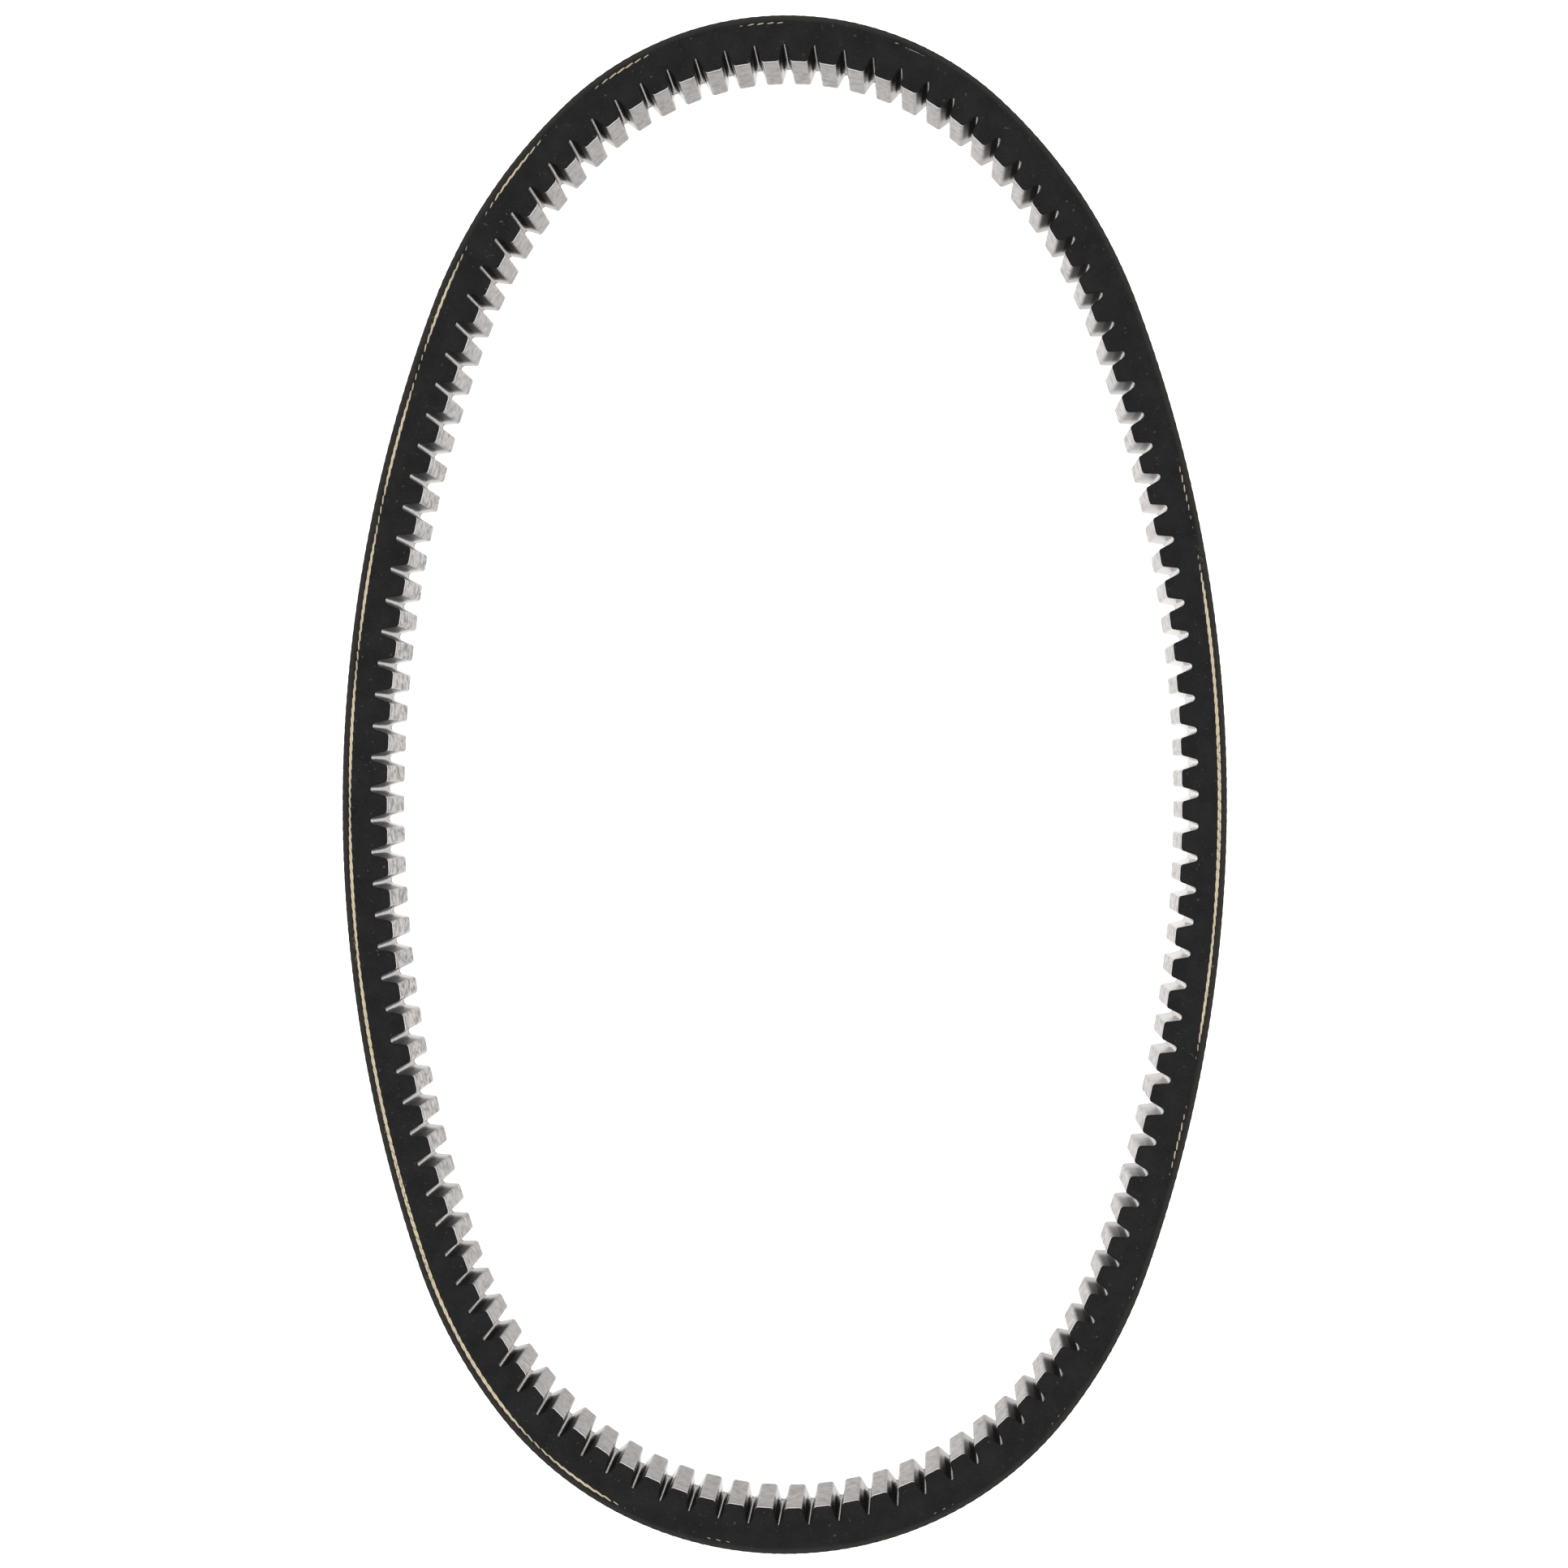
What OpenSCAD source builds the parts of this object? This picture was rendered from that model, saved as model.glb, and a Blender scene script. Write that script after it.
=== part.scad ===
// Raw-edge cogged V-belt for a variable-speed drive, lying on its side as a free oval loop.
// The loop's axis is +Z, the oval's long axis is Y, and the origin is under the loop's centre.
// Depth is measured from the belt's back, which is the outside of the loop, towards the cog tips.

/* [Loop] */
// Width of the oval over the belt's back
loop_width = 240; // [234:1:250]
// Back radius at the narrower end
upper_end_r = 86; // [82:1:90]
// Back radius along the two long sides
side_r = 386; // [370:2:400]
// Back radius at the fuller end
lower_end_r = 98; // [94:1:100]

/* [Belt section] */
// Width across the belt's back
back_width = 30; // [28:0.5:32]
// Thickness from the back to the cog tips
belt_thickness = 12; // [11.8:0.1:12.6]
// Slope of each V face from square
v_angle = 14; // [12:0.5:16]
// Depth of the square-cut edge before the V faces begin
square_edge = 1.5; // [1.4:0.05:1.5]

/* [Plies] */
// Thickness of each of the two back fabric plies
back_ply = 0.5; // [0.4:0.05:0.6]
// Depth at which the adhesion rubber ends and the compression rubber begins
adhesion_end = 3; // [2.8:0.1:3.4]
// Thickness of the fabric that faces the cogs
facing_ply = 0.4; // [0.3:0.05:0.5]

/* [Tensile cord] */
// Diameter of the twisted cord
cord_d = 0.84; // [0.7:0.02:0.9]
// Depth of the cord's centre
cord_depth = 2.05; // [2:0.01:2.1]
// Distance between neighbouring turns
cord_spacing = 1.16; // [1.1:0.01:1.16]

/* [Cogs] */
// Number of cogs round the loop
cog_count = 120; // [112:1:122]
// Height of a cog from the bottom of its gap to its tip
cog_height = 4.5; // [4.2:0.1:4.6]
// Width of a cog at its tip, before its corners are rounded
cog_tip_width = 4.4; // [4:0.1:4.5]
// Slope of a cog's flank from the cog's own axis
flank_angle = 17.6; // [16:0.2:18]
// Place of the first gap after the top of the loop, as a share of the pitch
first_gap = 0.05; // [0.05:0.05:0.95]
// Radius of the rounded cog tips
cog_tip_r = 0.95; // [0.8:0.05:1]

/* [Hidden] */
$fn = 128;

// The back's outline is ten tangent arcs, five down each side. These are the directions of the
// outline's normal where one arc of the right side meets the next.
arc_ends = [90, 47, 20.5, -19, -38, -90];
// Extra reach of a cutting shape past the face that it cuts
over = 1;
// Facets that draw a small circle
small_fn = 24;
middle_z = back_width / 2;

// Each shoulder's radius makes the arcs of its half of the outline add up to half of loop_width.
function half_side_x(from, to) = side_r * (cos(to) - cos(from));
upper_shoulder_r =
    (loop_width / 2 - upper_end_r * cos(arc_ends[1]) - half_side_x(arc_ends[2], 0))
    / (cos(arc_ends[2]) - cos(arc_ends[1]));
lower_shoulder_r =
    (loop_width / 2 - lower_end_r * cos(arc_ends[4]) - half_side_x(arc_ends[3], 0))
    / (cos(arc_ends[3]) - cos(arc_ends[4]));
arc_r = [upper_end_r, upper_shoulder_r, side_r, lower_shoulder_r, lower_end_r];
arc_count = len(arc_r);

function direction(angle) = [cos(angle), sin(angle)];
// Height of the outline along Y between two of its normals
function rise(i) = arc_r[i] * (sin(arc_ends[i]) - sin(arc_ends[i + 1]));
function sum_to(values, n) = n <= 0 ? 0 : values[n - 1] + sum_to(values, n - 1);
rises = [for (i = [0:arc_count - 1]) rise(i)];
loop_length = sum_to(rises, arc_count);
// Centre of each arc: the next centre lies on the normal that the two arcs share
function centre(i) = i == 0
    ? [0, loop_length / 2 - upper_end_r]
    : centre(i - 1) + (arc_r[i - 1] - arc_r[i]) * direction(arc_ends[i]);
centres = [for (i = [0:arc_count - 1]) centre(i)];

// Length of each arc along the cord line, where the belt neither stretches nor shortens
cord_arcs = [
    for (i = [0:arc_count - 1])
        (arc_r[i] - cord_depth) * (arc_ends[i] - arc_ends[i + 1]) * PI / 180
];
half_cord_line = sum_to(cord_arcs, arc_count);
cog_pitch = 2 * half_cord_line / cog_count;
// The arc that holds a distance s from the top of the loop down its right side
function arc_at(s, i = 0) =
    i == arc_count - 1 || s < sum_to(cord_arcs, i + 1) ? i : arc_at(s, i + 1);
function normal_at(s) = let (i = arc_at(s))
    arc_ends[i] - (s - sum_to(cord_arcs, i)) / (arc_r[i] - cord_depth) * 180 / PI;

// Half width of the section at a depth
function half_width(depth) = back_width / 2 - max(0, depth - square_edge) * tan(v_angle);
gap_root_depth = belt_thickness - cog_height;
// Overlap of the circles that round the gaps with the faces that they meet
round_overlap = 0.02;
tip_centre_depth = belt_thickness - cog_tip_r + round_overlap;

// Number of cord turns that fit at the cord's depth. The two outermost are cut by the side faces.
cord_turns = 2 * floor(half_width(cord_depth) / cord_spacing + 0.5);
function turn_z(k) = middle_z + (k - (cord_turns - 1) / 2) * cord_spacing;

// Moves by whole millimetres, then by thousandths, then by the rest, so that no digit is lost
// and the arcs meet exactly.
module place(v) {
    whole = [for (c = v) round(c)];
    fine = [for (c = v - whole) round(c * 1000) / 1000];
    translate(whole) translate(fine) translate(v - whole - fine) children();
}

// Sweeps a section round the loop. The section is drawn with the depth as x and the height as y.
module sweep_section() {
    for (side = [0, 1]) mirror([side, 0, 0])
        for (i = [0:arc_count - 1])
            place(centres[i])
                rotate_extrude(angle = arc_ends[i] - arc_ends[i + 1], start = arc_ends[i + 1])
                    place([arc_r[i], 0]) mirror([1, 0]) children();
}

// Section of a ply between two depths
module ply_section(from, to) {
    polygon([
        [from, middle_z - half_width(from)], [to, middle_z - half_width(to)],
        [to, middle_z + half_width(to)], [from, middle_z + half_width(from)]
    ]);
}

// Sections of the cord's turns from the first one in steps of the given size
module cord_sections(first, step) {
    for (k = [first:step:cord_turns - 1])
        translate([cord_depth, turn_z(k)]) circle(d = cord_d, $fn = small_fn);
}

module ply(from, to) {
    sweep_section() ply_section(from, to);
}

// A ply with a round channel for every turn of cord
module channelled_ply(from, to) {
    sweep_section() difference() {
        ply_section(from, to);
        cord_sections(0, 1);
    }
}

// Turns of one cord, trimmed flush where a side face cuts through them
module cord(first) {
    sweep_section() intersection() {
        cord_sections(first, 2);
        ply_section(square_edge, adhesion_end);
    }
}

// Outline of a gap between two cogs where the back's radius is back_r, grown on every side by skin.
// It is drawn with the loop's direction as x and the depth as y. The cogs keep their shape where
// the loop bends, so their flanks turn by half the bend and the gap closes up. The circles that
// round the gap overlap the faces that they meet, so that every edge crosses the next one cleanly.
module gap_outline(skin, back_r) {
    bend = cog_pitch / (back_r - cord_depth) * 180 / PI;
    slope = flank_angle - bend / 2;
    // Distance of each flank from the gap's axis, square to the flank, at the tips' depth
    tip_reach = (back_r - belt_thickness) * (sin(flank_angle) - sin(slope))
        - cog_tip_width / 2 * cos(flank_angle);
    bare_root_r = (tip_reach - cog_height * sin(slope)) / (1 - sin(slope));
    root_r = bare_root_r + skin;
    tip_r = cog_tip_r - skin;
    outward = [cos(slope), -sin(slope)];
    root_centre = [0, gap_root_depth + bare_root_r];
    tip_centre = [
        (root_r + tip_r - 2 * round_overlap
            + (tip_centre_depth - root_centre.y) * sin(slope)) / cos(slope),
        tip_centre_depth
    ];
    flank_start = root_centre + (root_r - round_overlap) * outward;
    flank_end = tip_centre - (tip_r - round_overlap) * outward;
    mouth = belt_thickness + over;
    translate(root_centre) circle(root_r, $fn = small_fn);
    difference() {
        polygon([
            [-flank_start.x, flank_start.y], flank_start, flank_end, tip_centre,
            [tip_centre.x, mouth], [-tip_centre.x, mouth],
            [-tip_centre.x, tip_centre.y], [-flank_end.x, flank_end.y]
        ]);
        for (side = [-1, 1])
            translate([side * tip_centre.x, tip_centre.y]) circle(tip_r, $fn = small_fn);
    }
}

// Cutters for the gaps all round the loop. Gap k is the k-th one down the right side from the
// top of the loop, and those past the bottom are mirrored onto the left side.
module gaps(skin) {
    for (k = [0:cog_count - 1]) {
        s = (k + first_gap) * cog_pitch;
        on_left = s > half_cord_line;
        down = on_left ? 2 * half_cord_line - s : s;
        i = arc_at(down);
        mirror([on_left ? 1 : 0, 0, 0])
            translate(centres[i])
                rotate(normal_at(down))
                    translate([arc_r[i], 0, -over])
                        rotate(90)
                            linear_extrude(back_width + 2 * over) gap_outline(skin, arc_r[i]);
    }
}

module back_fabric_outer() {
    color([0.16, 0.15, 0.14]) ply(0, back_ply);
}

module back_fabric_inner() {
    color([0.22, 0.20, 0.18]) ply(back_ply, 2 * back_ply);
}

module tension_rubber() {
    color([0.13, 0.13, 0.13]) ply(2 * back_ply, square_edge);
}

module adhesion_rubber_upper() {
    color([0.17, 0.17, 0.17]) channelled_ply(square_edge, cord_depth);
}

module tensile_cord_a() {
    color([0.80, 0.72, 0.55]) cord(0);
}

module tensile_cord_b() {
    color([0.86, 0.80, 0.66]) cord(1);
}

module adhesion_rubber_lower() {
    color([0.17, 0.17, 0.17]) channelled_ply(cord_depth, adhesion_end);
}

module compression_rubber() {
    color([0.15, 0.15, 0.15]) difference() {
        ply(adhesion_end, belt_thickness - facing_ply);
        gaps(facing_ply);
    }
}

module cog_facing_fabric() {
    color([0.30, 0.28, 0.26]) difference() {
        ply(gap_root_depth - over, belt_thickness);
        gaps(0);
        difference() {
            sweep_section()
                translate([gap_root_depth - 2 * over, -over])
                    square([cog_height + 2 * over - facing_ply, back_width + 2 * over]);
            gaps(facing_ply);
        }
    }
}

back_fabric_outer();
back_fabric_inner();
tension_rubber();
adhesion_rubber_upper();
tensile_cord_a();
tensile_cord_b();
adhesion_rubber_lower();
compression_rubber();
cog_facing_fabric();
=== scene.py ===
"""Raw-edge cogged V-belt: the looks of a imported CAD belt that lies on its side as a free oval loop."""

import math

import bpy
import numpy as np
from mathutils import Matrix, Vector


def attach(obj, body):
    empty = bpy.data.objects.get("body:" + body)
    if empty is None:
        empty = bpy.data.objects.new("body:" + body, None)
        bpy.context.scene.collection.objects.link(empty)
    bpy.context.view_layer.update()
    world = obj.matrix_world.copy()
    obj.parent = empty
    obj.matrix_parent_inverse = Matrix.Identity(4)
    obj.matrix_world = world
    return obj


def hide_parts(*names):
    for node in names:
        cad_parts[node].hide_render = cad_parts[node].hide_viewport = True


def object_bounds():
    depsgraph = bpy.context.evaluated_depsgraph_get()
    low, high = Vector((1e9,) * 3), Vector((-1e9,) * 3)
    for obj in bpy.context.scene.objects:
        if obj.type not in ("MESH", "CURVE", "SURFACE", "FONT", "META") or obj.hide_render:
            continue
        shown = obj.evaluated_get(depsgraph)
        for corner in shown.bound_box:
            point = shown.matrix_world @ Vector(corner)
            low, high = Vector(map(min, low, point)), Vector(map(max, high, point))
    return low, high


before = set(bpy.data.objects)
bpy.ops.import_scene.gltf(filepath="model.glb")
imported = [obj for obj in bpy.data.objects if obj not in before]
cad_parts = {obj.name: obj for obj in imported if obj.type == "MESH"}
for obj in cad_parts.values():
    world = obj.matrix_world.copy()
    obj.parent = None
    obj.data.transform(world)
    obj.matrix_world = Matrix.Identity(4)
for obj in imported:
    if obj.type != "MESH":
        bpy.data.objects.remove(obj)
cad_low, cad_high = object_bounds()

MM = 0.001
rng = np.random.default_rng(7)

# --- The loop: the same ten tangent arcs as in the CAD, five down each side ---

LOOP_WIDTH = 240 * MM
UPPER_END_R = 86 * MM
SIDE_R = 386 * MM
LOWER_END_R = 98 * MM
ARC_ENDS = np.radians([90, 47, 20.5, -19, -38, -90])

# --- The section: depths are measured from the belt's back ---

BACK_WIDTH = 30 * MM
THICKNESS = 12 * MM
V_SLOPE = math.tan(math.radians(14))
SQUARE_EDGE = 1.5 * MM
BACK_PLY = 0.5 * MM
ADHESION_END = 3 * MM
FACING = 0.4 * MM
MIDDLE_Z = BACK_WIDTH / 2

CORD_R = 0.42 * MM
CORD_DEPTH = 2.05 * MM
CORD_LEAD = 2.32 * MM

COG_COUNT = 120
COG_HEIGHT = 4.5 * MM
COG_TIP_WIDTH = 4.4 * MM
FLANK = math.radians(17.6)
COG_TIP_R = 0.95 * MM
FIRST_GAP = 0.05


def loop_arcs():
    """Radii and centres of the right side's arcs, and their starts along the cord line from the top."""
    cosines, sines = np.cos(ARC_ENDS), np.sin(ARC_ENDS)
    half = LOOP_WIDTH / 2
    upper = (half - UPPER_END_R * cosines[1] - SIDE_R * (1 - cosines[2])) / (cosines[2] - cosines[1])
    lower = (half - LOWER_END_R * cosines[4] - SIDE_R * (1 - cosines[3])) / (cosines[3] - cosines[4])
    radii = np.array([UPPER_END_R, upper, SIDE_R, lower, LOWER_END_R])
    length = float(np.sum(radii * (sines[:-1] - sines[1:])))
    centres = [np.array([0.0, length / 2 - UPPER_END_R])]
    for i in range(1, len(radii)):
        shared_normal = np.array([cosines[i], sines[i]])
        centres.append(centres[-1] + (radii[i - 1] - radii[i]) * shared_normal)
    lengths = (radii - CORD_DEPTH) * (ARC_ENDS[:-1] - ARC_ENDS[1:])
    return radii, np.array(centres), np.concatenate([[0], np.cumsum(lengths)])


ARC_R, ARC_CENTRES, ARC_STARTS = loop_arcs()
HALF_LOOP = float(ARC_STARTS[-1])
LOOP = 2 * HALF_LOOP
COG_PITCH = LOOP / COG_COUNT


def arc_index(s):
    """The arc that holds each distance s, which runs clockwise from the top along the cord line.

    It also gives the distance from the top down the same side, and whether that is the left side.
    """
    s = np.mod(s, LOOP)
    left = s > HALF_LOOP
    down = np.where(left, LOOP - s, s)
    i = np.clip(np.searchsorted(ARC_STARTS, down, side="right") - 1, 0, len(ARC_R) - 1)
    return i, down, left


def loop_points(s, depth, z):
    """Points at distance s round the loop, at a depth from the back and a height z."""
    s, depth, z = np.broadcast_arrays(s, depth, z)
    i, down, left = arc_index(s)
    angle = ARC_ENDS[i] - (down - ARC_STARTS[i]) / (ARC_R[i] - CORD_DEPTH)
    x = ARC_CENTRES[i, 0] + (ARC_R[i] - depth) * np.cos(angle)
    y = ARC_CENTRES[i, 1] + (ARC_R[i] - depth) * np.sin(angle)
    return np.stack([np.where(left, -x, x), y, z], axis=-1)


def half_width(depth):
    """Half width of the section at a depth."""
    return BACK_WIDTH / 2 - np.maximum(0, depth - SQUARE_EDGE) * V_SLOPE


def waves(s, depth, seed, count=7, shortest=0.6 * MM, longest=4 * MM):
    """Smooth unevenness, mostly between -1 and 1, that closes on itself round the loop."""
    pick = np.random.default_rng(seed)
    total = 0
    for _ in range(count):
        length = shortest * (longest / shortest) ** pick.random()
        turns = round(LOOP / length)
        tilt = pick.normal(0, 0.6) / length
        phase = pick.random() * 2 * math.pi
        total = total + np.sin(2 * math.pi * (turns * s / LOOP + tilt * depth) + phase)
    return total / math.sqrt(count)


# --- Meshes ---


def grid_mesh(name, points, across, along=None):
    """A closed tube of quads through points[station, place round the section].

    Its UV map holds the millimetres along the belt and across the section.
    """
    stations, places = points.shape[:2]
    i, j = np.meshgrid(np.arange(stations), np.arange(places), indexing="ij")
    next_i, next_j = (i + 1) % stations, (j + 1) % places
    corners = (i * places + j, next_i * places + j, next_i * places + next_j, i * places + next_j)
    quads = np.stack(corners, -1).reshape(-1, 4)
    corner_i = np.stack([i, i + 1, i + 1, i], -1).reshape(-1, 4)
    corner_j = np.stack([j, j, j + 1, j + 1], -1).reshape(-1, 4)
    flat = points.reshape(-1, 3)
    a, b, c, d = (flat[quads[:, k]] for k in range(4))
    inside_out = np.sum(np.cross(c - a, d - b) * (a + b + c + d)) < 0
    if inside_out:
        quads, corner_i, corner_j = quads[:, ::-1], corner_i[:, ::-1], corner_j[:, ::-1]
    mesh = bpy.data.meshes.new(name)
    mesh.from_pydata(flat.tolist(), [], quads.tolist())
    if along is None:
        along = np.arange(stations + 1) / stations * LOOP
    u = np.broadcast_to(along[:, None], (stations + 1, places))
    v = np.concatenate([across, across[-1:] + FACING])
    uv = np.stack([u[corner_i, np.mod(corner_j, places)], v[corner_j]], -1) / MM
    layer = mesh.uv_layers.new(name="belt")
    layer.data.foreach_set("uv", uv.astype(np.float32).ravel())
    return finish_mesh(name, mesh)


def finish_mesh(name, mesh, sharp_angle=40):
    """An object in the scene, smooth but for the edges whose faces turn by more than an angle."""
    mesh.polygons.foreach_set("use_smooth", [True] * len(mesh.polygons))
    mesh.set_sharp_from_angle(angle=math.radians(sharp_angle))
    mesh.update()
    piece = bpy.data.objects.new(name, mesh)
    bpy.context.scene.collection.objects.link(piece)
    return piece


STREAK_HEIGHT = 0.012 * MM
GRAIN_HEIGHT = 0.010 * MM
STATION_STEP = 0.5 * MM
STATIONS = int(LOOP / STATION_STEP)


def cut_relief(s, depth):
    """Height of the raw-cut faces: a knife leaves long shallow streaks and small torn spots."""
    streaks = waves(s, depth, seed=11, shortest=6 * MM, longest=40 * MM)
    grain = waves(s, depth, seed=12, count=9)
    return STREAK_HEIGHT * streaks + GRAIN_HEIGHT * grain


def ply_section(start, end, rows):
    """Depths and heights round the section of a ply, with rows steps across each cut side."""
    depths = np.linspace(start, end, rows + 1)
    low, high = MIDDLE_Z - half_width(depths), MIDDLE_Z + half_width(depths)
    return np.concatenate([depths, depths[::-1]]), np.concatenate([low, high[::-1]])


def swept_ply(name, start, end, rows, dent=None):
    """A ply between two depths, swept round the loop. Its cut sides have relief, and a dent if asked."""
    s = (np.arange(STATIONS) / STATIONS * LOOP)[:, None]
    section_depth, section_z = ply_section(start, end, rows)
    depth, z = np.tile(section_depth, (STATIONS, 1)), np.tile(section_z, (STATIONS, 1))
    side = np.where(z > MIDDLE_Z, 1, -1)
    lift = cut_relief(s, depth)
    if dent is not None:
        lift = lift + dent(s, depth, side)
    depth_steps = np.diff(section_depth, prepend=section_depth[0])
    z_steps = np.diff(section_z, prepend=section_z[0])
    across = np.cumsum(np.hypot(depth_steps, z_steps))
    return grid_mesh(name, loop_points(s, depth, z + side * lift), across)


# --- Back fabric: a bias-cut canvas, whose crowns stand out through the rubber ---

WEAVE_PITCH = 1.7 * MM
WEAVE_ANGLE = math.radians(52)
WEAVE_HEIGHT = 0.045 * MM
# Phase of the threads per metre: along the belt, with a whole number of threads round it, and across
WEAVE_ALONG = 2 * math.pi * round(LOOP * math.cos(WEAVE_ANGLE) / WEAVE_PITCH) / LOOP
WEAVE_ACROSS = 2 * math.pi * math.sin(WEAVE_ANGLE) / WEAVE_PITCH
# Depth of the weave's middle level, so that its crowns just reach the belt's back
WEAVE_SINK = 1.3 * WEAVE_HEIGHT
BACK_UNEVENNESS = 0.02 * MM
BACK_STEP = 0.6 * MM
BACK_ROWS = 50


def weave_relief(s, z):
    """Height of the woven back where two sets of slanted threads cross."""
    one = np.cos(WEAVE_ALONG * s + WEAVE_ACROSS * z)
    other = np.cos(WEAVE_ALONG * s - WEAVE_ACROSS * z)
    return WEAVE_HEIGHT * (0.5 * one + 0.5 * other + 0.35 * one * other)


def back_fabric_outer():
    """The outer ply: a woven back, two cut edges and a plain inner face."""
    stations = int(LOOP / BACK_STEP)
    s = (np.arange(stations) / stations * LOOP)[:, None]
    back_z = np.linspace(0, BACK_WIDTH, BACK_ROWS + 1)
    z = np.concatenate([back_z, [BACK_WIDTH, 0]])
    depth = np.concatenate([0 * back_z, [BACK_PLY, BACK_PLY]])
    relief = weave_relief(s, back_z) + BACK_UNEVENNESS * waves(s, back_z, seed=5)
    sink = np.zeros((stations, len(z)))
    sink[:, : len(back_z)] = WEAVE_SINK - relief
    lift = np.where(z > MIDDLE_Z, 1, -1) * cut_relief(s, depth)
    lift[:, (z > 0) & (z < BACK_WIDTH)] = 0
    across = np.concatenate([back_z, [BACK_WIDTH + BACK_PLY, BACK_WIDTH + BACK_PLY * 2]])
    piece = grid_mesh("back_canvas_outer", loop_points(s, depth + sink, z + lift), across)
    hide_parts("back_fabric_outer")
    return piece


# --- Tensile cords: two cords side by side, wound as a double helix, that the side faces cut ---

STRANDS = 3
LAY = 8.05 * MM
# How far the cord's outline dips between two strands, as a share of its radius
STRAND_HOLLOW = 0.18
# The winding's rise and fall: waves per turn, height, and phase in turns
WANDER = (
    (1, 0.192 * MM, 0.07),
    (2, 0.144 * MM, -0.145),
    (3, 0.089 * MM, -0.01),
    (26, 0.075 * MM, 0.633),
)
# Turns, anticlockwise from the middle of the right side, at which the upper face halves each cord
CUT_TURNS = {"a": 0.995, "b": 0.537}
# Places of the frayed spots, in the same turns, and the number of fibres in each
FRAYED = {"a": ((0.955, 7), (1.06, 6)), "b": ((0.375, 9), (0.54, 16), (0.585, 18), (0.635, 10))}
FACE_Z = half_width(CORD_DEPTH)
# Turns on each side of that place over which a cord's cut surface is modelled, with room to wander
WANDER_ROOM = 0.25 * MM
SPARE_TURNS = 0.03
FACE_REACH = (CORD_R + WANDER_ROOM) / CORD_LEAD + SPARE_TURNS

# The cut surface of a cord: its steps along the cord, its points across, and its width past the radius
CUT_STEP = 0.22 * MM
CUT_POINTS = 15
CUT_MARGIN = 0.1 * MM
# The cord opens a little where it is cut
CUT_SPREAD = 1.08
# Width over which the cut surface falls away at its outline, and the share of it outside the outline
CUT_EDGE = 0.10 * MM
CUT_EDGE_OUTSIDE = 0.75
# Height of the puffed strands over the face, and half the width of the grooves between them
STRAND_PUFF = 0.07 * MM
STRAND_GROOVE = 0.08 * MM
# Depths under the face: of the surface outside the outline, and of the cut surface's underside
CUT_SINK = 0.13 * MM
CUT_UNDERSIDE = 0.25 * MM

COVERED_STEP = 3.5 * MM
COVERED_SIDES = 6

FIBRE_R = 0.022 * MM
FIBRE_POINTS = 6
FIBRE_SIDES = 4
# Spread of the fibres round a frayed spot, in turns
FIBRE_SPREAD = 0.004
# Least and most of a fibre's length in millimetres, slant from the cord's line and arch in millimetres
FIBRE_LENGTH = (0.5, 1.5)
FIBRE_SLANT = (0.15, 1.2)
FIBRE_ARCH = (0.05, 0.25)
# Where a fibre starts: its distance from the cord's centre, and its height over the face
FIBRE_START = 0.3 * MM
FIBRE_LIFT = 0.05 * MM
# Depth past which no fibre reaches towards the back
FIBRE_LIMIT = 0.2 * MM
# Shares of a fibre's slanted way that it covers sideways, and of a half wave that its arch covers
FIBRE_SIDEWAYS = 0.7
FIBRE_HALF_WAVE = 0.8
# Spread of the bend of a fibre's end, as a share of its length, and the share of the radius that it loses
FIBRE_CURL = 0.25
FIBRE_TAPER = 0.6
# Place in a cord's section whose colour the loose fibres take
FIBRE_PLACE = 0.2 * MM

# Depth and width of the dent in the rubber beside a cut cord
DENT_DEPTH = 0.04 * MM
DENT_WIDTH = 0.45 * MM
# Distance between the face and the cord's centre, in radii, at which the dent ends
DENT_END = 1.1


def turn_distance(turn):
    """Distance clockwise from the top of the loop, for turns anticlockwise from its right side."""
    return (0.25 - turn) * LOOP


def cord_height(turn, cut_turn):
    """Height of a cord's centre over the belt's middle."""
    wander = sum(height * np.sin(2 * math.pi * (count * turn + phase)) for count, height, phase in WANDER)
    return FACE_Z + CORD_LEAD * (turn - cut_turn) + wander


def strand_phase(turn, x, z):
    """Place round a cord, counted in strands. Whole numbers lie between two strands."""
    return STRANDS * (np.arctan2(z, x) / (2 * math.pi) - turn * LOOP / LAY)


def tube_faces(rings, sides):
    """Quads between rings, and a polygon over each end."""
    i, j = np.meshgrid(np.arange(rings - 1), np.arange(sides), indexing="ij")
    next_j = (j + 1) % sides
    corners = (i * sides + j, i * sides + next_j, (i + 1) * sides + next_j, (i + 1) * sides + j)
    last = (rings - 1) * sides
    caps = [list(range(sides))[::-1], list(range(last, last + sides))]
    return np.stack(corners, -1).reshape(-1, 4).tolist() + caps


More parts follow.
